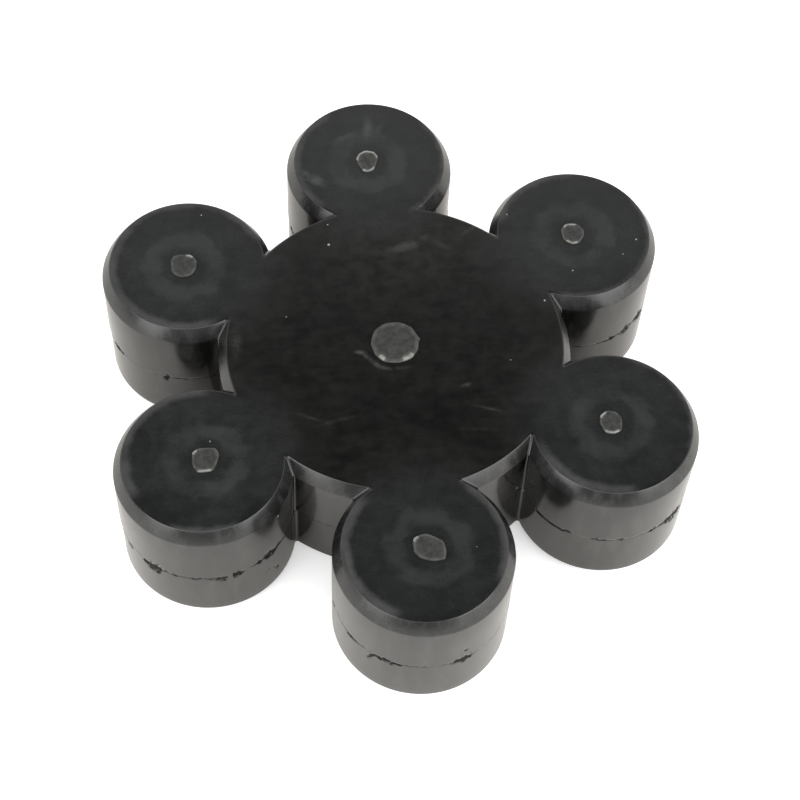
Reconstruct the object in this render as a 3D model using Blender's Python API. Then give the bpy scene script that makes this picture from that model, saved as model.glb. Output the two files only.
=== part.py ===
"""Damper coupling: a solid moulded rubber star that sits between the jaws of two shaft couplings.

One moulding: a round hub with six full-height round lobes, a chamfer round both faces, a thin line of
flash where the mould halves met, and a trimmed gate stub on the hub and on each lobe of the upper face.
Sizes are in metres. The star rests on its lower face, its axis is +Z, and one lobe points along +Y.
"""

import math

import bmesh
import bpy
from mathutils import Vector

MM = 0.001

# Driving sizes of the star
LOBE_COUNT = 6
HUB_RADIUS = 35.2 * MM
LOBE_OFFSET = 10.8 * MM  # from the hub's rim out to the lobes' centres
JAW_GAP = 11.2 * MM  # clear width between neighbouring lobes, where a jaw goes
THICKNESS = 32.4 * MM
CHAMFER_WIDTH = 1.65 * MM
CHAMFER_HEIGHT = 2.85 * MM
CORNER_FILLET = 0.45 * MM  # in the upright corners between hub and lobes

# Flash on the parting line, halfway up the wall
FLASH_REACH = 0.4 * MM
FLASH_ROOT = 0.6 * MM
FLASH_TIP = 0.25 * MM

# Trimmed gates on the upper face
HUB_GATE_RADIUS = 4.4 * MM
LOBE_GATE_RADIUS = 2.6 * MM
GATE_HEIGHT = 0.5 * MM
GATE_TAPER = 0.25 * MM
GATE_ROOT = 0.8 * MM  # how far a stub's solid starts below the face

# Segments of the outline's arcs and of the gates
LOBE_SEGMENTS = 34
HUB_SEGMENTS = 5
FILLET_SEGMENTS = 3
HUB_GATE_SEGMENTS = 36
LOBE_GATE_SEGMENTS = 24

# Worked out from the driving sizes
PITCH_RADIUS = HUB_RADIUS + LOBE_OFFSET
LOBE_RADIUS = PITCH_RADIUS * math.sin(math.pi / LOBE_COUNT) - JAW_GAP / 2
LOBE_STEP = 2 * math.pi / LOBE_COUNT
FIRST_LOBE = math.pi / 2


def clear_scene():
    for obj in list(bpy.data.objects):
        bpy.data.objects.remove(obj, do_unlink=True)


def arc(centre, radius, start, end, segments):
    """Points from start to end, both included, on an arc seen from above."""
    turn = end - start
    return [
        centre + radius * Vector((math.cos(start + turn * i / segments), math.sin(start + turn * i / segments)))
        for i in range(segments + 1)
    ]


def angle_opposite(side, first, second):
    """The angle of a triangle between two sides, from the length of the side across it."""
    return math.acos((first**2 + second**2 - side**2) / (2 * first * second))


def outline(inset):
    """The star's outline moved in by inset, anticlockwise: a lobe, a fillet, the hub's rim and a fillet in turn."""
    hub = HUB_RADIUS - inset
    lobe = LOBE_RADIUS - inset
    to_hub = hub + CORNER_FILLET
    to_lobe = lobe + CORNER_FILLET
    # The fillet's centre, seen from the hub's centre and from the lobe's
    at_hub = angle_opposite(to_lobe, to_hub, PITCH_RADIUS)
    at_lobe = angle_opposite(to_hub, to_lobe, PITCH_RADIUS)
    points = []
    for number in range(LOBE_COUNT):
        bearing = FIRST_LOBE + number * LOBE_STEP
        lobe_centre = PITCH_RADIUS * Vector((math.cos(bearing), math.sin(bearing)))
        wrap = math.pi - at_lobe
        points += arc(lobe_centre, lobe, bearing - wrap, bearing + wrap, LOBE_SEGMENTS)
        leaving = bearing + at_hub
        centre = to_hub * Vector((math.cos(leaving), math.sin(leaving)))
        points += arc(centre, CORNER_FILLET, bearing - at_lobe, leaving - math.pi, FILLET_SEGMENTS)[1:]
        arriving = bearing + LOBE_STEP - at_hub
        points += arc(Vector((0, 0)), hub, leaving, arriving, HUB_SEGMENTS)[1:]
        centre = to_hub * Vector((math.cos(arriving), math.sin(arriving)))
        next_wall = bearing + LOBE_STEP + at_lobe
        points += arc(centre, CORNER_FILLET, arriving + math.pi, next_wall, FILLET_SEGMENTS)[1:-1]
    return points


def levels():
    """(inset, height) of each outline of the star, from the lower face up."""
    middle = THICKNESS / 2
    return [
        (CHAMFER_WIDTH, 0),
        (0, CHAMFER_HEIGHT),
        (0, middle - FLASH_ROOT / 2),
        (-FLASH_REACH, middle - FLASH_TIP / 2),
        (-FLASH_REACH, middle + FLASH_TIP / 2),
        (0, middle + FLASH_ROOT / 2),
        (0, THICKNESS - CHAMFER_HEIGHT),
        (CHAMFER_WIDTH, THICKNESS),
    ]


def star_mesh():
    """The outlines bridged from level to level, and closed by the two faces."""
    shape = bmesh.new()
    rings = []
    for inset, height in levels():
        ring = [shape.verts.new((point.x, point.y, height)) for point in outline(inset)]
        rings.append([shape.edges.new((ring[i - 1], ring[i])) for i in range(len(ring))])
    for lower, upper in zip(rings, rings[1:]):
        bmesh.ops.bridge_loops(shape, edges=lower + upper)
    for ring in (rings[0], rings[-1]):
        bmesh.ops.contextual_create(shape, geom=ring)
    bmesh.ops.recalc_face_normals(shape, faces=shape.faces)
    mesh = bpy.data.meshes.new("coupling_star")
    shape.to_mesh(mesh)
    shape.free()
    return mesh


def gate_mesh(name, radius, segments):
    """A low stub with sloping sides, from inside the face to its cut top."""
    shape = bmesh.new()
    depth = GATE_ROOT + GATE_HEIGHT
    bmesh.ops.create_cone(
        shape,
        cap_ends=True,
        segments=segments,
        radius1=radius + GATE_TAPER * GATE_ROOT / GATE_HEIGHT,
        radius2=radius - GATE_TAPER,
        depth=depth,
    )
    mesh = bpy.data.meshes.new(name)
    shape.to_mesh(mesh)
    shape.free()
    return mesh


def moulded_rubber():
    """Black moulded rubber with a dull sheen."""
    material = bpy.data.materials.new("moulded_rubber")
    material.use_nodes = True
    shader = material.node_tree.nodes["Principled BSDF"]
    shader.inputs["Base Color"].default_value = (0.028, 0.028, 0.027, 1)
    shader.inputs["Roughness"].default_value = 0.45
    shader.inputs["Metallic"].default_value = 0
    return material


def add_gate(star, mesh, name, place):
    """A gate stub joined to the star's upper face by a Boolean."""
    stub = bpy.data.objects.new(name, mesh)
    stub.location = (place.x, place.y, THICKNESS + (GATE_HEIGHT - GATE_ROOT) / 2)
    stub.display_type = "WIRE"
    stub.hide_render = True
    bpy.context.scene.collection.objects.link(stub)
    union = star.modifiers.new(name, "BOOLEAN")
    union.operation = "UNION"
    union.object = stub


def add_gates(star):
    hub_gate = gate_mesh("hub_gate", HUB_GATE_RADIUS, HUB_GATE_SEGMENTS)
    add_gate(star, hub_gate, "hub_gate", Vector((0, 0)))
    lobe_gate = gate_mesh("lobe_gate", LOBE_GATE_RADIUS, LOBE_GATE_SEGMENTS)
    for number in range(LOBE_COUNT):
        bearing = FIRST_LOBE + number * LOBE_STEP
        place = PITCH_RADIUS * Vector((math.cos(bearing), math.sin(bearing)))
        add_gate(star, lobe_gate, f"lobe_gate_{number + 1}", place)


def main():
    clear_scene()
    mesh = star_mesh()
    mesh.materials.append(moulded_rubber())
    mesh.shade_smooth()
    mesh.set_sharp_from_angle(angle=math.radians(25))
    star = bpy.data.objects.new("coupling_star", mesh)
    bpy.context.scene.collection.objects.link(star)
    add_gates(star)


main()
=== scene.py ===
"""Looks of the damper coupling: a black moulded rubber star on white paper, under soft light.

One fine mesh takes the place of the star's plain solid, and seven small stubs stand for its trimmed gates.
Lengths are in metres and angles in degrees, except where a name says otherwise. +Z is up.
"""

import math

import bmesh
import bpy
from mathutils import Matrix, Vector, noise


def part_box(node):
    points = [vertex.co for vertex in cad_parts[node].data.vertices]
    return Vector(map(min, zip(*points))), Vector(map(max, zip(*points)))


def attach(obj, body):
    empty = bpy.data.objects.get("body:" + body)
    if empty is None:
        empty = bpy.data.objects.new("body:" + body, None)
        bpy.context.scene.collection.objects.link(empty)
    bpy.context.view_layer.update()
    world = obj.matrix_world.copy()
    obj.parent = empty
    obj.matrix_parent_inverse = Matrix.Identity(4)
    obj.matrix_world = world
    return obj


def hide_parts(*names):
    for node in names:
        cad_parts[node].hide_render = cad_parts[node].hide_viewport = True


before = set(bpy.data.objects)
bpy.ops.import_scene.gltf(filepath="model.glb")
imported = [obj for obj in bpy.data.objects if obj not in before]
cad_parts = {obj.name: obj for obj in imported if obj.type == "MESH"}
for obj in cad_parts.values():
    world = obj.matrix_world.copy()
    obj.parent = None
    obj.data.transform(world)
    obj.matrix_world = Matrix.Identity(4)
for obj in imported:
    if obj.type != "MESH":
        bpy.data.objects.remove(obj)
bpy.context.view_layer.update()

MM = 0.001
UP = Vector((0, 0, 1))

# Sizes of the star, from the frame's box and the sizes that the box doesn't show
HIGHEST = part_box("coupling_star")[1]
LOBE_COUNT = 6
LOBE_STEP = 360 / LOBE_COUNT
FIRST_LOBE = 90
SOLID_FLASH = 0.4 * MM
GATE_HEIGHT = 0.5 * MM
LOBE_OFFSET = 10.8 * MM
CHAMFER_WIDTH = 1.65 * MM
CHAMFER_HEIGHT = 2.85 * MM
UPPER_FILLET = 0.36 * MM
LOWER_FILLET = 0.54 * MM
LOBES = [FIRST_LOBE + number * LOBE_STEP for number in range(LOBE_COUNT)]
PITCH_RADIUS = (HIGHEST.y - HIGHEST.x) / (1 - math.cos(math.radians(LOBE_STEP / 2)))
LOBE_RADIUS = HIGHEST.y - SOLID_FLASH - PITCH_RADIUS
HUB_RADIUS = PITCH_RADIUS - LOBE_OFFSET
THICKNESS = HIGHEST.z - GATE_HEIGHT
FACE_RADIUS = LOBE_RADIUS - CHAMFER_WIDTH

# Edges are slightly rounded by the mould
FACE_EDGE = 0.4 * MM
WALL_EDGE = 0.9 * MM
EDGE_STEPS = 4

# The mould halves meet halfway up the wall, and the lower one sat slightly off the upper one
PARTING = THICKNESS / 2
MISMATCH = Vector((0.15, 0.36, 0)) * MM
MISMATCH_HEIGHT = 0.25 * MM

# Steps along the outline
LOBE_STEPS = 210
FILLET_STEPS = 6
HUB_STEPS = 28

# Heights above the parting line of the wall's rows of points, in mm, and how near points are joined
ROW = 0.25
ROWS_BELOW = [-11, -9.8, -8.8, -7.8, -6.9, -6.2, -5.2, -4.2, -3.4] + [(row - 11) * ROW for row in range(11)]
ROWS_ABOVE = [row * ROW for row in range(1, 6)] + [2.6, 3.4, 4.2, 5, 6]
WELD = 0.01 * MM

# Places where the flash was torn off the wall. Each has its lobe, and then point by point the bearing on it,
# the height above the parting line in mm and half the torn width in mm.
TEARS = (
    (-150, (-158, -2.7, 0.4), (-152, -2.3, 0.4)),
    (-150, (-140, -1.7, 0.5), (-134, -1.6, 1.8), (-129, -1.2, 2.2), (-126, -0.5, 1.8), (-124, -0.4, 0.6)),
    (-150, (-124, -0.5, 0.4), (-121, -0.5, 0.8), (-118, -0.5, 0.4), (-116, -0.6, 1.0), (-113, -0.6, 0.4)),
    (-150, (-112, -0.7, 0.3), (-110, -0.7, 0.5), (-108, -0.7, 0.3)),
    (-150, (-106, -0.6, 0.3), (-103, -0.6, 0.6), (-99, -0.6, 0.3)),
    (-150, (-94, -0.6, 0.4), (-88, -0.8, 0.9), (-84, -1.1, 1.5), (-82, -1.1, 0.6)),
    (-150, (-77, -0.5, 1.7), (-73, -0.4, 1.1), (-69, -0.2, 0.4)),
    (-150, (-62, -0.2, 0.3), (-58, -0.1, 1.0), (-55, -0.1, 0.4)),
    (-150, (-54, -0.1, 0.8), (-51, -0.2, 1.5), (-47, -0.2, 1.3), (-44, -0.1, 0.8), (-35, 0, 0.4)),
    (-150, (-54, -6.6, 0.3), (-50, -6.6, 0.3)),
    (-150, (-46, -7.6, 0.4), (-43, -9.0, 0.4)),
    (-90, (-181, -4.8, 0.5), (-173, -1.6, 0.5)),
    (-90, (-152, -1.7, 0.3), (-146, -1.2, 0.6), (-140, -0.8, 0.3)),
    (-90, (-133, -3.4, 0.5), (-131, -2.4, 0.6), (-128, -0.8, 0.6)),
    (-90, (-129, -0.5, 0.6), (-124, -0.4, 1.2), (-117, -0.5, 1.3), (-112, -0.6, 0.9), (-109, -0.5, 0.3)),
    (-90, (-108, -0.5, 0.3), (-105, -0.5, 0.7), (-103, -0.3, 0.3), (-82, -0.3, 0.3)),
    (-90, (-80, -0.4, 0.4), (-75, -0.4, 1.1), (-69, -0.3, 1.5), (-65, -0.3, 1.1), (-62, -0.2, 0.3)),
    (-90, (-71, 2.9, 0.3), (-68, 3.6, 0.4), (-66, 3.8, 0.3)),
    (-90, (-62, -0.2, 0.2), (-35, -0.2, 0.25)),
    (-30, (-150, -1.1, 0.2), (-127, -1, 0.25)),
    (-30, (-127, -0.3, 0.4), (-124, -0.1, 0.9), (-121, 0, 0.3)),
    (-30, (-121, 0, 0.15), (-109, 0, 0.2)),
    (-30, (-109, -0.1, 0.3), (-105, 0, 0.7), (-98, 0, 0.5), (-96, 0, 0.3), (-92, 0, 0.3)),
    (-30, (-91, 0, 0.4), (-88, -0.1, 0.9), (-85, 0, 0.3)),
    (-30, (-85, 0, 0.25), (-70, 0, 0.3)),
    (-30, (-70, 0.1, 0.4), (-66, 0, 0.9), (-62, 0, 0.5)),
    (-30, (-61, 0, 0.6), (-56, -0.2, 1.1), (-50, -0.7, 1.9), (-44, -1.1, 2.1), (-40, -1.3, 1.7),
     (-37, -1.6, 0.6)),
    (30, (-90, -0.2, 0.2), (-80, -0.2, 0.3), (-73, -0.3, 0.4)),
    (30, (-72, -0.4, 0.5), (-68, -0.3, 0.9), (-62, -0.3, 0.5)),
    (30, (-59, -0.3, 0.5), (-54, -0.3, 1.5), (-49, -0.3, 0.9)),
    (30, (-46, 0, 0.4), (-42, -0.1, 1.4), (-38, -0.4, 1.8), (-34, -1.1, 1.5), (-31, -1.6, 0.6)),
    (30, (60, -0.2, 0.2), (70, -0.3, 0.9), (82, -0.2, 0.2)),
    (150, (-162, -2.2, 0.3), (-155, -1.8, 0.6), (-149, -1.2, 0.3)),
    (150, (-130, -0.2, 0.2), (-113, -0.2, 0.25)),
    (150, (-113, -1.2, 0.7), (-111, -0.3, 1.5), (-109, 0.4, 0.6)),
    (150, (-109, 0.1, 0.3), (-88, 0.1, 0.25)),
    (150, (95, -0.2, 0.2), (104, -0.4, 0.9), (120, -0.2, 0.2)),
    (90, (-172, -1.8, 0.5), (-166, -1.2, 0.6)),
    (90, (30, -0.2, 0.2), (42, -0.3, 1.0), (58, -0.2, 0.3)),
)
TEAR_DEPTH = 0.2 * MM
TEAR_GRAIN = 0.9 * MM
# Degrees over which a torn place fades at each end, and the mark of wall that isn't torn
TEAR_END = 1.5
UNTORN = -3

# The line that the flash left where it came off clean, which is faint in places
WITNESS_WIDTH = 0.35 * MM
WITNESS_GRAIN = 5 * MM

# Trimmed gates: middle in mm, corners from it in mm, and the lit parts of the lip that get a painted
# highlight, by first and last bearing
GATES = (
    (
        (-0.1, -0.1),
        ((4.6, -0.3), (5.0, 0.3), (4.6, 0.9), (3.7, 3.1), (1.6, 4.5), (-1.3, 4.6), (-3.7, 3.1), (-4.7, 0.3),
         (-4.2, -2.4), (-2.5, -4.3), (0.2, -4.8), (2.8, -4.0), (4.3, -2.1)),
        ((222, 238), (286, 314)),
    ),
    (
        (-0.3, 46.0),
        ((2.3, 0.9), (1.4, 2.3), (-0.3, 2.7), (-1.7, 2.0), (-2.4, 0.6),
         (-1.5, -2.3), (-0.4, -2.8), (1.1, -2.3)),
        ((15, 170), (240, 300)),
    ),
    (
        (39.8, 23.0),
        ((2.3, 0.6), (1.2, 2.2), (-1.1, 2.5), (-2.4, 1.1), (-2.2, -1.4),
         (-0.7, -2.6), (0.9, -2.4), (2.0, -1.0)),
        ((65, 135), (225, 285)),
    ),
    (
        (39.6, -22.9),
        ((2.2, 0.6), (1.3, 2.1), (-0.3, 2.6), (-1.8, 1.7), (-2.2, 0.1),
         (-1.5, -2.2), (0.2, -2.6), (1.8, -2.0)),
        ((105, 150), (235, 300)),
    ),
    (
        (0.9, -46.4),
        ((2.8, 0.9), (-0.4, 2.9), (-2.9, 2.1), (-3.0, -0.7), (-2.0, -2.0),
         (0.0, -2.9), (2.5, -2.8), (2.9, -1.4)),
        ((130, 150),),
    ),
    (
        (-39.4, -23.3),
        ((2.7, 1.0), (2.1, 2.4), (-1.2, 2.6), (-2.4, 1.7), (-2.5, -0.8),
         (-1.7, -2.6), (1.3, -2.5), (2.2, -0.7)),
        ((125, 150), (235, 295)),
    ),
    (
        (-40.5, 22.7),
        ((2.6, 1.2), (1.4, 2.6), (-1.8, 2.7), (-2.5, 1.5), (-2.5, -1.4),
         (-0.8, -2.8), (1.3, -2.4), (2.4, -0.9)),
        ((45, 75),),
    ),
)
# How far a gate starts below the face, the cuts in each side of its outline and how often that is smoothed
GATE_SUNK = 0.3 * MM
GATE_CUTS = 6
GATE_ROUNDING = 4
# Height and size of the waves in its surface
GATE_WAVE = 0.03 * MM
GATE_GRAIN = 1.3 * MM

# How a gate is drawn up and in from its base: size against the last outline, rise in mm, and how strong its
# painted highlight is on a lit part of the lip. Elsewhere the painted highlight is PLAIN_EDGE times that.
GATE_STEPS = (
    (1.05, 0, 0),
    (0.98, 0.55, 0.4),
    (0.98, 0.1, 1),
    (0.96, 0.02, 1),
    (0.94, -0.05, 0.9),
    (0.9, -0.05, 0.1),
    (0.8, -0.03, 0),
    (0.6, 0.02, 0),
    (0.4, 0.01, 0),
)
PLAIN_EDGE = 0.13

# Noise in the rubber's looks: size of its spots in mm, detail and roughness
NOISES = {
    "cloud": (9, 4, 0.6),
    "soft": (3.5, 1.5, 0.5),
    "patch": (3, 5, 0.65),
    "fine": (0.6, 4, 0.7),
    "frays": (0.9, 3, 0.7),
}

# Setting of a Map Range node that eases in and out
SOFT_STEP = {"interpolation_type": "SMOOTHSTEP"}

# How much of the bloom's grey shows in the rings round the gates, and how strong the painted sheen is in the
# bands along the rims
RING_STRENGTH = 0.11
BAND_STRENGTH = 0.34

# Painted sheen in light grey bands along the lobes' rims: lobe, first and last bearing, and width in mm
RIM_SHEEN = (
    (-150, 85, 178, 1.5),
    (-150, 172, 205, 2.1),
    (-150, -117, -73, 0.9),
    (-90, 134, 243, 1.9),
    (-90, -30, 52, 1.4),
    (-30, -167, -84, 1.9),
    (-30, -25, 65, 0.8),
    (150, 135, 286, 1.7),
    (150, 20, 135, 1.3),
    (90, 120, 222, 1.4),
    (90, -60, 35, 0.9),
    (30, 85, 160, 1.3),
    (30, -108, 30, 0.8),
)
# Degrees over which a band fades on each side of its ends
BAND_END = 7

# Rubbed places on the upper face: middle, half length and half width in mm, turn and strength
RUBS = (
    (5.0, 23.3, 4.4, 1.3, 12, 0.26),
    (6.2, 23.6, 2.0, 0.8, 30, 0.2),
    (8.8, 24.9, 2.2, 1.2, 40, 0.16),
    (12.5, 22.8, 3.0, 1.2, -35, 0.1),
    (-7.0, -1.8, 1.3, 0.5, -12, 0.5),
    (-5.9, -2.9, 1.7, 0.6, -50, 0.5),
    (-4.6, -4.6, 1.8, 0.55, -48, 0.42),
    (-2.6, -5.9, 1.8, 0.5, -20, 0.32),
    (0.6, -6.2, 2.2, 0.5, 5, 0.24),
    (-11.6, 42.2, 2.4, 1.2, -35, 0.5),
    (-13.5, 43.6, 1.6, 0.9, -60, 0.5),
    (-15.2, 40.4, 2.4, 0.5, -50, 0.4),
    (0.8, 55.2, 3.2, 1.1, 80, 0.3),
    (3.2, 54.6, 1.6, 0.8, 60, 0.28),
    (-4.4, 53.0, 2.6, 0.8, 25, 0.2),
    (19.0, 26.5, 3.0, 0.5, 35, 0.2),
    (12.8, -11.4, 1.3, 0.5, 10, 0.25),
    (16.4, -17.3, 3.4, 0.4, -20, 0.14),
    (-31.5, 3.0, 4.0, 1.2, 85, 0.16),
    (-13.0, -17.0, 4.5, 0.5, 10, 0.12),
    (-18.5, -15.8, 3.0, 0.4, -25, 0.12),
    (14.0, -21.8, 4.5, 0.5, -8, 0.1),
    (3.0, 22.0, 22.0, 11.0, 0, 0.045),
    (-39.8, -23.0, 16.0, 16.0, 0, 0.035),
    (-14.2, -48.6, 6.5, 0.9, 100, 0.16),
)

# Specks of white dust on the upper face and in the corners of the wall: place and radius in mm
DUST = (
    (-10.7, 25.2, 32.4, 0.34),
    (-36.1, 35.3, 32.4, 0.2),
    (-10.4, 30.3, 32.4, 0.18),
    (26.9, 29.3, 32.4, 0.18),
    (52.6, 20.3, 32.4, 0.24),
    (49.2, 16.9, 32.4, 0.17),
    (38.2, 13.8, 32.4, 0.2),
    (31.3, 7.0, 32.4, 0.26),
    (9.7, -47.2, 32.4, 0.1),
    (-38.2, -19.2, 32.4, 0.17),
    (-21.0, 8.2, 32.4, 0.15),
    (22.3, -6.5, 32.4, 0.14),
    (23.0, -27.3, 16.1, 0.55),
    (21.3, -28.0, 18.9, 0.35),
    (-26.5, -34.2, 27.4, 0.4),
)

# White paper: half its side, and the reach of the star's shade on it
PAPER_HALF = 0.6
PAPER_SHADE = 0.12

# The room's brightness by the sine of the angle above the horizon, where white is 1
ROOM_LEVELS = ((0.08, 0.2), (0.4, 0.85), (0.68, 0.95), (0.75, 0.62), (0.79, 0.32), (0.82, 0.03))
WINDOW_BEARING = -98

# Lamp panels: name, bearing and angle above the floor, width and height, and brightness where white is 1
SOFTBOX_DISTANCE = 0.8
SOFTBOXES = (
    ("softbox_right", -43, 22, 0.6, 0.6, 2.9),
    ("softbox_left", -143, 22, 0.45, 0.6, 2.9),
)

# The picture's camera, with the sizes of its lens and sensor in mm
CAMERA_LENS = 90.85
SENSOR_WIDTH = 36
CAMERA_PLACE = Vector((-36.3, -220.3, 366.5)) * MM
CAMERA_AIM = Vector((-0.7, -13.6, 32.4)) * MM
CAMERA_ROLL = 3.33


def unit(bearing):
    """A unit vector at this bearing, anticlockwise from +X."""
    return Vector((math.cos(math.radians(bearing)), math.sin(math.radians(bearing)), 0))


def lobe_centre(bearing):
    """The middle of the lobe at this bearing."""
    return PITCH_RADIUS * unit(bearing)


def linear(colour):
    """An sRGB hex colour as linear red, green, blue and alpha."""
    parts = [int(colour[i : i + 2], 16) / 255 for i in (1, 3, 5)]
    return [c / 12.92 if c <= 0.04045 else ((c + 0.055) / 1.055) ** 2.4 for c in parts] + [1]


def add(tree, kind, inputs=None, **settings):
    """A new shader node with these settings.

    An input is given a value, or the node or output socket that it is linked from.
    """
    node = tree.nodes.new(kind)
    for name, value in settings.items():
        setattr(node, name, value)
    for name, value in (inputs or {}).items():
        if isinstance(value, bpy.types.Node):
            value = value.outputs[0]
        if isinstance(value, bpy.types.NodeSocket):
            tree.links.new(value, node.inputs[name])
        else:
            node.inputs[name].default_value = value
    return node


def new_material(name):
    """A material whose tree is still empty, and the tree."""
    material = bpy.data.materials.new(name)
    material.use_nodes = True
    material.node_tree.nodes.clear()
    return material, material.node_tree


def new_piece(name, shape, material, sharp=35):
    """An object made from a bmesh, in the scene."""
    mesh = bpy.data.meshes.new(name)
    shape.to_mesh(mesh)
    shape.free()
    mesh.materials.append(material)
    mesh.shade_smooth()
    mesh.set_sharp_from_angle(angle=math.radians(sharp))
    piece = bpy.data.objects.new(name, mesh)
    bpy.context.scene.collection.objects.link(piece)
    return piece


def angle_opposite(side, first, second):
    """The angle between two sides of a triangle, from the length of the side across it."""
    return math.degrees(math.acos((first**2 + second**2 - side**2) / (2 * first * second)))


def outline_chain(shape, inset, height, fillet):
    """One sixth of the star's outline, moved in by inset: a lobe, a fillet, the hub's rim and a fillet."""
    hub = HUB_RADIUS - inset
    lobe = LOBE_RADIUS - inset
    to_hub = hub + fillet
    to_lobe = lobe + fillet
    at_hub = angle_opposite(to_lobe, to_hub, PITCH_RADIUS)
    at_lobe = angle_opposite(to_hub, to_lobe, PITCH_RADIUS)
    wrap = 180 - at_lobe
    middle = lobe_centre(FIRST_LOBE)
    arcs = (
        (middle, 2 * wrap, LOBE_STEPS),
        (to_hub * unit(FIRST_LOBE + at_hub), at_hub - wrap, FILLET_STEPS),
        (Vector(), LOBE_STEP - 2 * at_hub, HUB_STEPS),
        (to_hub * unit(FIRST_LOBE + LOBE_STEP - at_hub), at_hub - wrap, FILLET_STEPS),
    )
    known = len(shape.verts)
    tip = [shape.verts.new(middle + lobe * unit(FIRST_LOBE - wrap) + height * UP)]
    for centre, turn, steps in arcs:
        spun = bmesh.ops.spin(shape, geom=tip, cent=centre, axis=UP, angle=math.radians(turn), steps=steps)
        tip = [item for item in spun["geom_last"] if isinstance(item, bmesh.types.BMVert)]
    return list({edge for vert in list(shape.verts)[known:] for edge in vert.link_edges})


def rounded_corner(before, corner, after, radius):
    """Points of a small arc that takes the place of a corner of a profile."""
    into = (before - corner).normalized()
    out = (after - corner).normalized()
    half = into.angle(out) / 2
    reach = radius / math.tan(half)
    centre = corner + (into + out).normalized() * radius / math.sin(half)
    first = corner + into * reach - centre
    last = corner + out * reach - centre
    return [centre + radius * first.slerp(last, i / EDGE_STEPS) for i in range(EDGE_STEPS + 1)]


def edge_profile():
    """(inset, height) of each outline of the upper edges, from the wall's top up over the chamfer."""
    below = Vector((0, PARTING))
    shoulder = Vector((0, THICKNESS - CHAMFER_HEIGHT))
    rim = Vector((CHAMFER_WIDTH, THICKNESS))
    face = Vector((CHAMFER_WIDTH + FACE_EDGE, THICKNESS))
    shoulder_arc = rounded_corner(below, shoulder, rim, WALL_EDGE)
    rim_arc = rounded_corner(shoulder, rim, face, FACE_EDGE)
    return shoulder_arc + rim_arc + [face]


def lifted_chain(shape, chain, rise):
    """The chain drawn straight up into the next strip of wall."""
    made = bmesh.ops.extrude_edge_only(shape, edges=chain)["geom"]
    verts = [item for item in made if isinstance(item, bmesh.types.BMVert)]
    bmesh.ops.translate(shape, verts=verts, vec=rise * UP)
    return [item for item in made if isinstance(item, bmesh.types.BMEdge)]


def half_wall(shape, levels, heights, fillet):
    """Half of one sixth of the wall: bridged outlines round the edge, then wall straight up to the heights.

    Its first and last chains of edges are returned.
    """
    chains = [outline_chain(shape, inset, height, fillet) for inset, height in levels]
    for below, above in zip(chains, chains[1:]):
        bmesh.ops.bridge_loops(shape, edges=below + above)
    chain, height = chains[-1], levels[-1][1]
    for above in heights:
        chain = lifted_chain(shape, chain, above - height)
        height = above
    return chains[0], chain


def tear_at(lobe, bearing, height):
    """How deep inside a torn place a point lies: 1 in its middle, 0 at its edge and less outside."""
    deepest = UNTORN
    for at_lobe, *points in TEARS:
        if at_lobe != lobe:
            continue
        for (first, low, low_half), (last, high, high_half) in zip(points, points[1:]):
            along = (bearing - first + TEAR_END) % 360 - TEAR_END
            span = last - first
            if along > span + TEAR_END:
                continue
            part = min(1, max(0, along / span))
            past = max(0, -along, along - span) / TEAR_END
            middle = (low + (high - low) * part) * MM
            half = (low_half + (high_half - low_half) * part) * MM
            deepest = max(deepest, 1 - abs(height - PARTING - middle) / half - past)
    return deepest


def tear_wall(shape):
    """Sink the torn places into the wall, and mark them and a faint witness line for the material."""
    mark = shape.verts.layers.float.new("torn_wall")
    for vert in shape.verts:
        vert[mark] = UNTORN
        offset = vert.co.z - PARTING
        if abs(offset) > THICKNESS / 2 - CHAMFER_HEIGHT - WALL_EDGE:
            continue
        flat = Vector((vert.co.x, vert.co.y, 0))
        lobe = min(LOBES, key=lambda bearing: (flat - lobe_centre(bearing)).length)
        out = flat - lobe_centre(lobe)
        if out.length > LOBE_RADIUS + WELD:
            out = flat
        else:
            bearing = math.degrees(math.atan2(out.y, out.x))
            vert[mark] = tear_at((lobe + 180) % 360 - 180, bearing, vert.co.z)
        rough = 0.7 + 0.6 * noise.noise(vert.co / TEAR_GRAIN)
        sunk = TEAR_DEPTH * math.sqrt(max(0, vert[mark])) * rough
        faintness = 0.3 - 0.6 * noise.noise(vert.co / WITNESS_GRAIN)
        below_line = abs(offset + MISMATCH_HEIGHT / 2)
        vert[mark] = max(vert[mark], 1 - below_line / WITNESS_WIDTH - faintness)
        vert.co -= out.normalized() * sunk


def shift_lower_half(shape):
    """Move the lower half by the mismatch of the mould, over a short slope below the parting line."""
    for vert in shape.verts:
        part = min(1, max(0, (PARTING - vert.co.z) / MISMATCH_HEIGHT))
        vert.co += MISMATCH * part * part * (3 - 2 * part)


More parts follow.
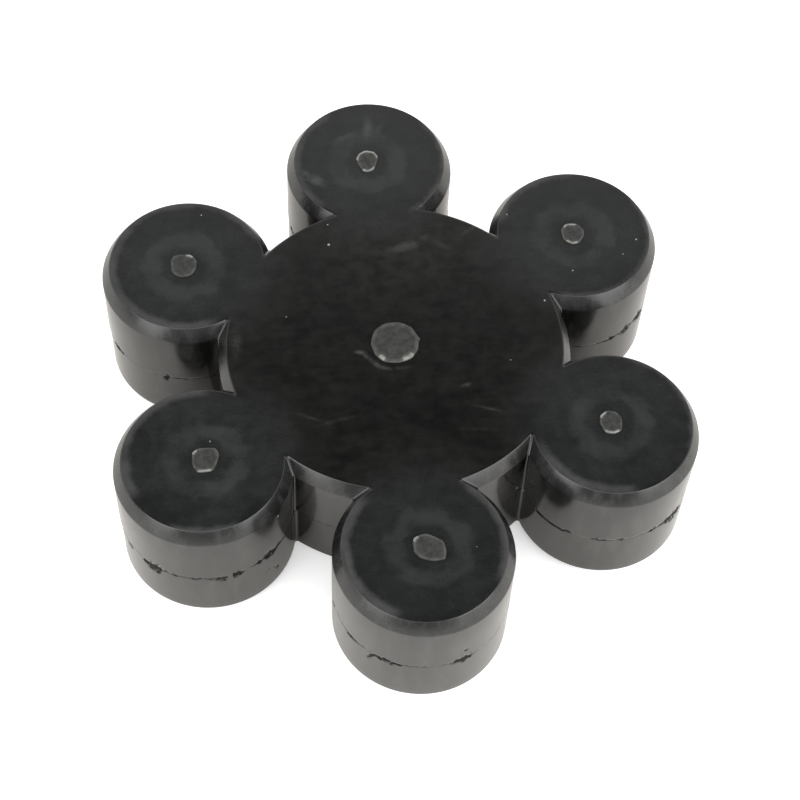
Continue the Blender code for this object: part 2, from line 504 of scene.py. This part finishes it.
def rubber_star(material):
    """Hub, lobes, chamfers, corner fillets and parting line as one closed mesh."""
    shape = bmesh.new()
    upper = [(point.x, point.y) for point in edge_profile()]
    lower = [(inset, THICKNESS - height) for inset, height in reversed(upper)]
    below = [PARTING + row * MM for row in ROWS_BELOW]
    above = [PARTING + row * MM for row in ROWS_ABOVE]
    low_edge = half_wall(shape, lower, below, LOWER_FILLET)[1]
    middle, high_edge = half_wall(shape, [(0, PARTING)], above, UPPER_FILLET)
    chains = [outline_chain(shape, inset, height, UPPER_FILLET) for inset, height in upper]
    for under, over in zip([low_edge, high_edge] + chains, [middle, chains[0]] + chains[1:]):
        bmesh.ops.bridge_loops(shape, edges=under + over)
    sixth = shape.verts[:] + shape.edges[:] + shape.faces[:]
    rest_of_turn = math.radians(360 - LOBE_STEP)
    bmesh.ops.spin(shape, geom=sixth, axis=UP, angle=rest_of_turn, steps=LOBE_COUNT - 1, use_duplicate=True)
    bmesh.ops.remove_doubles(shape, verts=shape.verts, dist=WELD)
    rims = [edge for edge in shape.edges if edge.is_boundary]
    bmesh.ops.contextual_create(shape, geom=[edge for edge in rims if edge.verts[0].co.z < PARTING])
    bmesh.ops.contextual_create(shape, geom=[edge for edge in rims if edge.verts[0].co.z > PARTING])
    bmesh.ops.recalc_face_normals(shape, faces=shape.faces)
    tear_wall(shape)
    shift_lower_half(shape)
    return new_piece("rubber_star", shape, material)


def largest(tree, values):
    """The largest of several values."""
    result = values[0]
    for value in values[1:]:
        result = add(tree, "ShaderNodeMath", {0: result, 1: value}, operation="MAXIMUM")
    return result


def lobes_and_rings(tree, flat, soft):
    """How much a place is on a lobe, and in the uneven ring of bloom round a lobe's gate, from 0 to 1."""
    uneven = add(tree, "ShaderNodeMath", {0: soft, 1: 4 * MM, 2: -2 * MM}, operation="MULTIPLY_ADD")
    lobes = []
    rings = []
    for gate in GATES[1:]:
        middle = Vector((*gate[0], 0)) * MM
        distance = add(
            tree,
            "ShaderNodeVectorMath",
            {0: flat, 1: middle},
            operation="DISTANCE",
        ).outputs["Value"]
        warped = add(tree, "ShaderNodeMath", {0: distance, 1: uneven}, operation="ADD")
        lobes.append(add(tree, "ShaderNodeMapRange", {0: distance, 1: 26 * MM, 2: 11 * MM}, **SOFT_STEP))
        inner = add(tree, "ShaderNodeMapRange", {0: warped, 1: 3.8 * MM, 2: 6 * MM}, **SOFT_STEP)
        outer = add(tree, "ShaderNodeMapRange", {0: warped, 1: 9.3 * MM, 2: 7.2 * MM}, **SOFT_STEP)
        rings.append(add(tree, "ShaderNodeMath", {0: inner, 1: outer}, operation="MULTIPLY"))
    return largest(tree, lobes), largest(tree, rings)


def rim_sheen(tree, flat, ragged):
    """Painted sheen in light grey bands with a ragged inner edge, just inside the lobes' rims."""
    bands = []
    for lobe, first, last, width in RIM_SHEEN:
        offset = add(tree, "ShaderNodeVectorMath", {0: flat, 1: lobe_centre(lobe)}, operation="SUBTRACT")
        radius = add(tree, "ShaderNodeVectorMath", {0: offset}, operation="LENGTH").outputs["Value"]
        heading = add(tree, "ShaderNodeVectorMath", {0: offset}, operation="NORMALIZE")
        towards = unit((first + last) / 2)
        facing = add(
            tree,
            "ShaderNodeVectorMath",
            {0: heading, 1: towards},
            operation="DOT_PRODUCT",
        ).outputs["Value"]
        outside = math.cos(math.radians((last - first) / 2 + BAND_END))
        inside = math.cos(math.radians((last - first) / 2 - BAND_END))
        band = add(tree, "ShaderNodeMapRange", {0: facing, 1: outside, 2: inside}, **SOFT_STEP)
        edge = add(tree, "ShaderNodeMath", {0: radius, 1: ragged}, operation="ADD")
        inner = FACE_RADIUS - width * MM
        across = {0: edge, 1: inner - 0.5 * MM, 2: inner + 1.1 * MM}
        to_rim = {0: radius, 1: FACE_RADIUS + 0.3 * MM, 2: FACE_RADIUS - 0.1 * MM}
        for limit in (across, to_rim):
            part = add(tree, "ShaderNodeMapRange", limit, **SOFT_STEP)
            band = add(tree, "ShaderNodeMath", {0: band, 1: part}, operation="MULTIPLY")
        bands.append(band)
    return largest(tree, bands)


def rubs(tree, flat, patch):
    """Rubbed streaks, broken up by the patches."""
    streaks = []
    for x, y, length, width, turn, strength in RUBS:
        spread = {
            "Vector": flat,
            "Location": (x * MM, y * MM, 0),
            "Rotation": (0, 0, math.radians(turn)),
            "Scale": (length * MM, width * MM, 1),
        }
        local = add(tree, "ShaderNodeMapping", spread, vector_type="TEXTURE")
        reach = add(tree, "ShaderNodeVectorMath", {0: local}, operation="LENGTH").outputs["Value"]
        fading = {0: reach, 1: 1.4, 2: 0.1, 3: 0, 4: strength}
        streaks.append(add(tree, "ShaderNodeMapRange", fading, **SOFT_STEP))
    broken = add(tree, "ShaderNodeMapRange", {0: patch, 1: 0.35, 2: 0.65, 3: 0.25}, **SOFT_STEP)
    return add(tree, "ShaderNodeMath", {0: largest(tree, streaks), 1: broken}, operation="MULTIPLY")


def dust(tree, place):
    """Specks of dust with soft edges."""
    specks = []
    for x, y, z, radius in DUST:
        speck = Vector((x, y, z)) * MM
        reach = add(
            tree,
            "ShaderNodeVectorMath",
            {0: place, 1: speck},
            operation="DISTANCE",
        ).outputs["Value"]
        fading = {0: reach, 1: radius * MM, 2: 0.4 * radius * MM}
        specks.append(add(tree, "ShaderNodeMapRange", fading, **SOFT_STEP))
    return largest(tree, specks)


def bloom_and_sheen_on_face(tree, place, noises):
    """Bloom and painted sheen along the rims: how strongly they grey the upper face, and how much a place is
    on a lobe and in a rim's painted sheen band.
    """
    flat = add(tree, "ShaderNodeVectorMath", {0: place, 1: (1, 1, 0)}, operation="MULTIPLY")
    on_lobes, rings = lobes_and_rings(tree, flat, noises["soft"])
    worn_ring = add(tree, "ShaderNodeMapRange", {0: noises["cloud"], 1: 0.3, 2: 0.6, 3: 0.45}, **SOFT_STEP)
    rings = add(tree, "ShaderNodeMath", {0: rings, 1: worn_ring}, operation="MULTIPLY")
    ragged = add(
        tree,
        "ShaderNodeMath",
        {0: noises["patch"], 1: 1.2 * MM, 2: -0.6 * MM},
        operation="MULTIPLY_ADD",
    )
    bands = rim_sheen(tree, flat, ragged)
    sheen_breakup = add(tree, "ShaderNodeMapRange", {0: noises["cloud"], 1: 0.3, 2: 0.6, 3: 0.5}, **SOFT_STEP)
    bands = add(tree, "ShaderNodeMath", {0: bands, 1: sheen_breakup}, operation="MULTIPLY")
    combed = add(
        tree,
        "ShaderNodeMapping",
        {"Vector": place, "Rotation": (0, 0, 0.12), "Scale": (0.3, 1, 0.3)},
    )
    drawn = {"Vector": combed, "Scale": 1 / (1.5 * MM), "Detail": 3, "Roughness": 0.6}
    streaks = add(tree, "ShaderNodeTexNoise", drawn)
    thick = add(
        tree,
        "ShaderNodeMapRange",
        {0: noises["cloud"], 1: 0.3, 2: 0.7, 3: 0.07, 4: 0.1},
        **SOFT_STEP,
    )
    film_and_sheen = add(tree, "ShaderNodeMath", {0: on_lobes, 1: thick}, operation="MULTIPLY")
    # The bands along the rims add painted sheen to the bloom's grey
    layers = (
        (rings, RING_STRENGTH),
        (bands, BAND_STRENGTH),
        (rubs(tree, flat, noises["patch"]), 1),
        (add(tree, "ShaderNodeMapRange", {0: noises["patch"], 1: 0.3, 2: 0.7}, **SOFT_STEP), 0.014),
        (add(tree, "ShaderNodeMapRange", {0: streaks, 1: 0.3, 2: 0.75}, **SOFT_STEP), 0.026),
    )
    for layer, strength in layers:
        film_and_sheen = add(tree, "ShaderNodeMath", {0: layer, 1: strength, 2: film_and_sheen}, operation="MULTIPLY_ADD")
    grainy = add(
        tree,
        "ShaderNodeMapRange",
        {0: noises["fine"], 1: 0.25, 2: 0.75, 3: 0.88, 4: 1.12},
        **SOFT_STEP,
    )
    return add(tree, "ShaderNodeMath", {0: film_and_sheen, 1: grainy}, operation="MULTIPLY"), on_lobes, bands


def smudges_and_chamfer_sheen(tree, place, chamfered):
    """Strength of the smudges that hands and packing leave on the polished wall and chamfers, and of the
    painted sheen that makes the chamfers a little paler all over.
    """
    upright = add(tree, "ShaderNodeMapping", {"Vector": place, "Scale": (1, 1, 0.3)})
    drawn = {"Vector": upright, "Scale": 1 / (3 * MM), "Detail": 4, "Roughness": 0.6}
    smudges = add(tree, "ShaderNodeTexNoise", drawn)
    smudges = add(tree, "ShaderNodeMapRange", {0: smudges, 1: 0.4, 2: 0.7, 3: 0, 4: 0.16}, **SOFT_STEP)
    # Painted sheen: the chamfers are a little paler everywhere, under the smudges
    return add(tree, "ShaderNodeMath", {0: chamfered, 1: 0.07, 2: smudges}, operation="MULTIPLY_ADD")


def moulded_rubber():
    """Carbon-black rubber, pressed in a polished steel mould.

    The walls come out near black and glossy. Bloom greys the face that was left to dry, thicker on the lobes
    and in a ring round each gate. The light grey bands along the rims are painted sheen, and the chamfers
    are painted a little paler all over as sheen.
    """
    material, tree = new_material("moulded_carbon_black_rubber")
    place = add(tree, "ShaderNodeTexCoord").outputs["Object"]
    height = add(tree, "ShaderNodeSeparateXYZ", {0: place}).outputs["Z"]
    face = {0: height, 1: THICKNESS - 0.25 * MM, 2: THICKNESS - 0.02 * MM}
    on_face = add(tree, "ShaderNodeMapRange", face, **SOFT_STEP)
    on_wall = add(tree, "ShaderNodeMath", {0: 1, 1: on_face}, operation="SUBTRACT")
    shoulder = THICKNESS - CHAMFER_HEIGHT
    chamfered = add(
        tree,
        "ShaderNodeMapRange",
        {0: height, 1: shoulder - 0.4 * MM, 2: shoulder},
        **SOFT_STEP,
    )
    noises = {}
    for name, (size, detail, roughness) in NOISES.items():
        inputs = {"Vector": place, "Scale": 1 / (size * MM), "Detail": detail, "Roughness": roughness}
        noises[name] = add(tree, "ShaderNodeTexNoise", inputs)
    patch = noises["patch"]

    film_and_sheen, on_lobes, bands = bloom_and_sheen_on_face(tree, place, noises)
    film_and_sheen = add(tree, "ShaderNodeMath", {0: film_and_sheen, 1: on_face}, operation="MULTIPLY", use_clamp=True)
    # Smudges on the wall, and painted sheen on the chamfers
    smudges = smudges_and_chamfer_sheen(tree, place, chamfered)
    film_and_sheen = add(tree, "ShaderNodeMath", {0: smudges, 1: on_wall, 2: film_and_sheen}, operation="MULTIPLY_ADD")

    # Grey bloom, painted sheen and white dust over a black that changes a little from place to place
    tone = add(tree, "ShaderNodeMapRange", {0: noises["cloud"], 1: 0.35, 2: 0.65}, **SOFT_STEP)
    black = add(
        tree,
        "ShaderNodeMix",
        {0: tone, 6: linear("#0f0f0f"), 7: linear("#141413")},
        data_type="RGBA",
    )
    dried = add(
        tree,
        "ShaderNodeMix",
        {0: on_lobes, 6: linear("#6d6b63"), 7: linear("#686f6d")},
        data_type="RGBA",
    )
    # The bands along the rims are painted sheen in a lighter grey, mixed into the bloom's colour
    bloom = add(
        tree,
        "ShaderNodeMix",
        {0: bands, 6: dried.outputs[2], 7: linear("#706f6f")},
        data_type="RGBA",
    )
    with_bloom_and_sheen = add(
        tree,
        "ShaderNodeMix",
        {0: film_and_sheen, 6: black.outputs[2], 7: bloom.outputs[2]},
        data_type="RGBA",
    )
    specks = dust(tree, place)
    dusty = add(
        tree,
        "ShaderNodeMix",
        {0: specks, 6: with_bloom_and_sheen.outputs[2], 7: linear("#c9c9c4")},
        data_type="RGBA",
    )

    # Polished where the mould touched, and dull on the bloom, on the painted sheen and where the flash was
    # torn off
    mark = add(tree, "ShaderNodeAttribute", attribute_name="torn_wall").outputs["Fac"]
    fray = add(tree, "ShaderNodeMath", {0: noises["frays"], 1: 5, 2: -2.5}, operation="MULTIPLY_ADD")
    frayed = add(tree, "ShaderNodeMath", {0: mark, 1: fray}, operation="ADD")
    torn = add(tree, "ShaderNodeMapRange", {0: frayed, 1: -0.3, 2: 0.4}, **SOFT_STEP)
    gloss = add(tree, "ShaderNodeMapRange", {0: patch, 1: 0.3, 2: 0.7, 3: 0.09, 4: 0.15}, **SOFT_STEP)
    for dull, strength in ((chamfered, 0.08), (film_and_sheen, 0.5), (torn, 0.6)):
        gloss = add(
            tree,
            "ShaderNodeMath",
            {0: dull, 1: strength, 2: gloss},
            operation="MULTIPLY_ADD",
            use_clamp=True,
        )
    shine = add(tree, "ShaderNodeMapRange", {0: torn, 1: 0, 2: 1, 3: 0.5, 4: 0.1}, **SOFT_STEP)
    pits = add(tree, "ShaderNodeMath", {0: noises["fine"], 1: 0.3}, operation="MULTIPLY")
    waves = add(tree, "ShaderNodeMath", {0: patch, 1: 0.5, 2: pits}, operation="MULTIPLY_ADD")
    bump = add(tree, "ShaderNodeBump", {"Height": waves, "Strength": 0.09, "Distance": 0.1 * MM})
    shader = add(
        tree,
        "ShaderNodeBsdfPrincipled",
        {
            "Base Color": dusty.outputs[2],
            "Roughness": gloss,
            "IOR": 1.6,
            "Specular IOR Level": shine,
            "Normal": bump,
        },
    )
    add(tree, "ShaderNodeOutputMaterial", {"Surface": shader})
    return material


def cut_rubber():
    """Rubber sheared off with a knife: rough and grey, with a highlight painted in light grey along the lit
    parts of the lip.
    """
    material, tree = new_material("knife_trimmed_rubber")
    place = add(tree, "ShaderNodeTexCoord").outputs["Object"]
    lip = add(tree, "ShaderNodeAttribute", attribute_name="lip_highlight").outputs["Fac"]
    blotches = {"Vector": place, "Scale": 1 / (1.2 * MM), "Detail": 4, "Roughness": 0.65}
    blotch = add(tree, "ShaderNodeTexNoise", blotches)
    grains = {"Vector": place, "Scale": 1 / (0.25 * MM), "Detail": 3, "Roughness": 0.7}
    fine = add(tree, "ShaderNodeTexNoise", grains)
    tone = add(tree, "ShaderNodeMapRange", {0: blotch, 1: 0.35, 2: 0.65}, **SOFT_STEP)
    grey = add(
        tree,
        "ShaderNodeMix",
        {0: tone, 6: linear("#393937"), 7: linear("#4c4c49")},
        data_type="RGBA",
    )
    patchy_highlight = add(tree, "ShaderNodeMapRange", {0: blotch, 1: 0.3, 2: 0.6, 3: 0.55}, **SOFT_STEP)
    painted_highlight = add(tree, "ShaderNodeMath", {0: lip, 1: patchy_highlight}, operation="MULTIPLY", use_clamp=True)
    # Painted highlight: light grey along the lit parts of the lip
    colour = add(
        tree,
        "ShaderNodeMix",
        {0: painted_highlight, 6: grey.outputs[2], 7: linear("#b4b4ae")},
        data_type="RGBA",
    )
    relief = add(tree, "ShaderNodeMath", {0: fine, 1: 0.5, 2: blotch}, operation="MULTIPLY_ADD")
    bump = add(tree, "ShaderNodeBump", {"Height": relief, "Strength": 0.4, "Distance": 0.08 * MM})
    surface = {"Base Color": colour.outputs[2], "Roughness": 0.5, "IOR": 1.52, "Normal": bump}
    shader = add(tree, "ShaderNodeBsdfPrincipled", surface)
    add(tree, "ShaderNodeOutputMaterial", {"Surface": shader})
    return material


def trimmed_gate(number, place, corners, lit_lips, material):
    """A low stub with an irregular outline and a raised lip round its dished cut face."""
    shape = bmesh.new()
    # This layer holds how strongly each point is painted light grey as a highlight
    torn = shape.verts.layers.float.new("lip_highlight")
    root = Vector((place[0] * MM, place[1] * MM, THICKNESS - GATE_SUNK))
    base = shape.faces.new([shape.verts.new(root + Vector((*corner, 0)) * MM) for corner in corners])
    bmesh.ops.subdivide_edges(shape, edges=base.edges, cuts=GATE_CUTS)
    for turn in range(GATE_ROUNDING):
        bmesh.ops.smooth_vert(shape, verts=shape.verts, factor=0.5, use_axis_x=True, use_axis_y=True)
    top = [base]
    for size, rise, painted_highlight in GATE_STEPS:
        drawn = bmesh.ops.extrude_face_region(shape, geom=top)["geom"]
        if base not in top:
            bmesh.ops.delete(shape, geom=top, context="FACES_ONLY")
        top = [item for item in drawn if isinstance(item, bmesh.types.BMFace)]
        verts = [item for item in drawn if isinstance(item, bmesh.types.BMVert)]
        bmesh.ops.scale(shape, verts=verts, vec=(size, size, 1), space=Matrix.Translation(-root))
        bmesh.ops.translate(shape, verts=verts, vec=rise * MM * UP)
        # Points on the lit parts of the lip get the full painted highlight, the rest PLAIN_EDGE of it
        for vert in verts:
            out = vert.co - root
            bearing = math.degrees(math.atan2(out.y, out.x)) % 360
            on_lit_lip = any(first <= bearing <= last for first, last in lit_lips)
            vert[torn] = painted_highlight if on_lit_lip else PLAIN_EDGE * painted_highlight
            vert.co.z += GATE_WAVE * noise.noise(vert.co / GATE_GRAIN + number * UP)
    bmesh.ops.recalc_face_normals(shape, faces=shape.faces)
    return new_piece(f"trimmed_gate_{number}", shape, material, sharp=50)


def white_paper():
    """White paper that keeps a faint shadow, and that gloss reflects as slightly warm white."""
    material, tree = new_material("white_paper")
    rays = add(tree, "ShaderNodeLightPath")
    to_camera = rays.outputs["Is Camera Ray"]
    seen = add(tree, "ShaderNodeMath", {0: to_camera, 1: rays.outputs["Is Glossy Ray"]}, operation="ADD")
    through = rays.outputs["Is Transmission Ray"]
    seen = add(tree, "ShaderNodeMath", {0: seen, 1: through}, operation="ADD", use_clamp=True)
    openness = add(tree, "ShaderNodeAmbientOcclusion", {"Distance": PAPER_SHADE}, samples=8).outputs["AO"]
    bright = add(tree, "ShaderNodeMapRange", {0: openness, 1: 0.05, 2: 0.5, 3: 0.05, 4: 0.66})
    plain = add(tree, "ShaderNodeMath", {0: to_camera, 1: 0.35}, operation="MULTIPLY")
    glow = add(tree, "ShaderNodeMath", {0: seen, 1: bright, 2: plain}, operation="MULTIPLY_ADD")
    paper = add(tree, "ShaderNodeBsdfDiffuse", {"Color": linear("#ededec")})
    tint = add(
        tree,
        "ShaderNodeMix",
        {0: to_camera, 6: linear("#fff8ef"), 7: linear("#ffffff")},
        data_type="RGBA",
    )
    light = add(tree, "ShaderNodeEmission", {"Color": tint.outputs[2], "Strength": glow})
    both = add(tree, "ShaderNodeAddShader", {0: paper, 1: light})
    add(tree, "ShaderNodeOutputMaterial", {"Surface": both})
    return material


def make_floor():
    """A square sheet of white paper under the star."""
    shape = bmesh.new()
    bmesh.ops.create_grid(shape, x_segments=1, y_segments=1, size=PAPER_HALF)
    floor = new_piece("floor", shape, white_paper())


def make_world():
    """A room that is bright halfway up and dark overhead, and plain white to the camera."""
    world = bpy.data.worlds.new("soft_room")
    bpy.context.scene.world = world
    world.use_nodes = True
    tree = world.node_tree
    tree.nodes.clear()
    sky = add(tree, "ShaderNodeTexCoord").outputs["Generated"]
    height = add(tree, "ShaderNodeSeparateXYZ", {0: sky}).outputs["Z"]
    bands = add(tree, "ShaderNodeValToRGB", {0: height})
    for place, level in ROOM_LEVELS[2:]:
        bands.color_ramp.elements.new(place)
    for stop, (place, level) in zip(bands.color_ramp.elements, ROOM_LEVELS):
        stop.position = place
        stop.color = (level, level, level, 1)

    # A window in front, twice as bright as the room round it
    towards = unit(WINDOW_BEARING)
    front = add(tree, "ShaderNodeVectorMath", {0: sky, 1: towards}, operation="DOT_PRODUCT").outputs["Value"]
    window = add(tree, "ShaderNodeMapRange", {0: height, 1: 0.54, 2: 0.64}, **SOFT_STEP)
    for limit in ({0: height, 1: 0.78, 2: 0.7}, {0: front, 1: 0.3, 2: 0.6}):
        side = add(tree, "ShaderNodeMapRange", limit, **SOFT_STEP)
        window = add(tree, "ShaderNodeMath", {0: window, 1: side}, operation="MULTIPLY")
    strength = add(tree, "ShaderNodeMapRange", {0: window, 1: 0, 2: 1, 3: 1, 4: 2}, **SOFT_STEP)
    room = add(tree, "ShaderNodeBackground", {"Color": bands, "Strength": strength})
    white = add(tree, "ShaderNodeBackground", {"Color": linear("#ffffff"), "Strength": 1})
    seen = add(tree, "ShaderNodeLightPath").outputs["Is Camera Ray"]
    mixed = add(tree, "ShaderNodeMixShader", {0: seen, 1: room, 2: white})
    add(tree, "ShaderNodeOutputWorld", {"Surface": mixed})


def make_softbox(name, bearing, rise, width, height, brightness):
    """A lamp panel that faces the star."""
    lamp = bpy.data.lights.new(name, "AREA")
    lamp.shape = "RECTANGLE"
    lamp.size = width
    lamp.size_y = height
    lamp.energy = brightness * math.pi * width * height
    softbox = bpy.data.objects.new(name, lamp)
    towards = unit(bearing) * math.cos(math.radians(rise)) + math.sin(math.radians(rise)) * UP
    turn = (-towards).to_track_quat("-Z", "Y").to_matrix().to_4x4()
    softbox.matrix_world = Matrix.Translation(SOFTBOX_DISTANCE * towards) @ turn
    softbox.visible_camera = False
    bpy.context.scene.collection.objects.link(softbox)


def make_camera():
    """The photo's camera."""
    camera = bpy.data.cameras.new("camera")
    camera.lens = CAMERA_LENS
    camera.sensor_width = SENSOR_WIDTH
    camera.clip_start = 0.01
    camera.clip_end = 100
    rig = bpy.data.objects.new("camera", camera)
    turn = (CAMERA_AIM - CAMERA_PLACE).to_track_quat("-Z", "Y").to_matrix().to_4x4()
    roll = Matrix.Rotation(math.radians(CAMERA_ROLL), 4, "Z")
    rig.matrix_world = Matrix.Translation(CAMERA_PLACE) @ turn @ roll
    bpy.context.scene.collection.objects.link(rig)
    bpy.context.scene.camera = rig


bpy.context.scene.view_settings.view_transform = "Standard"
star = rubber_star(moulded_rubber())
cut = cut_rubber()
gates = [trimmed_gate(number, *gate, cut) for number, gate in enumerate(GATES, 1)]
for piece in (star, *gates):
    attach(piece, "root")
    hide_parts("coupling_star")
make_floor()
make_world()
for softbox in SOFTBOXES:
    make_softbox(*softbox)
make_camera()
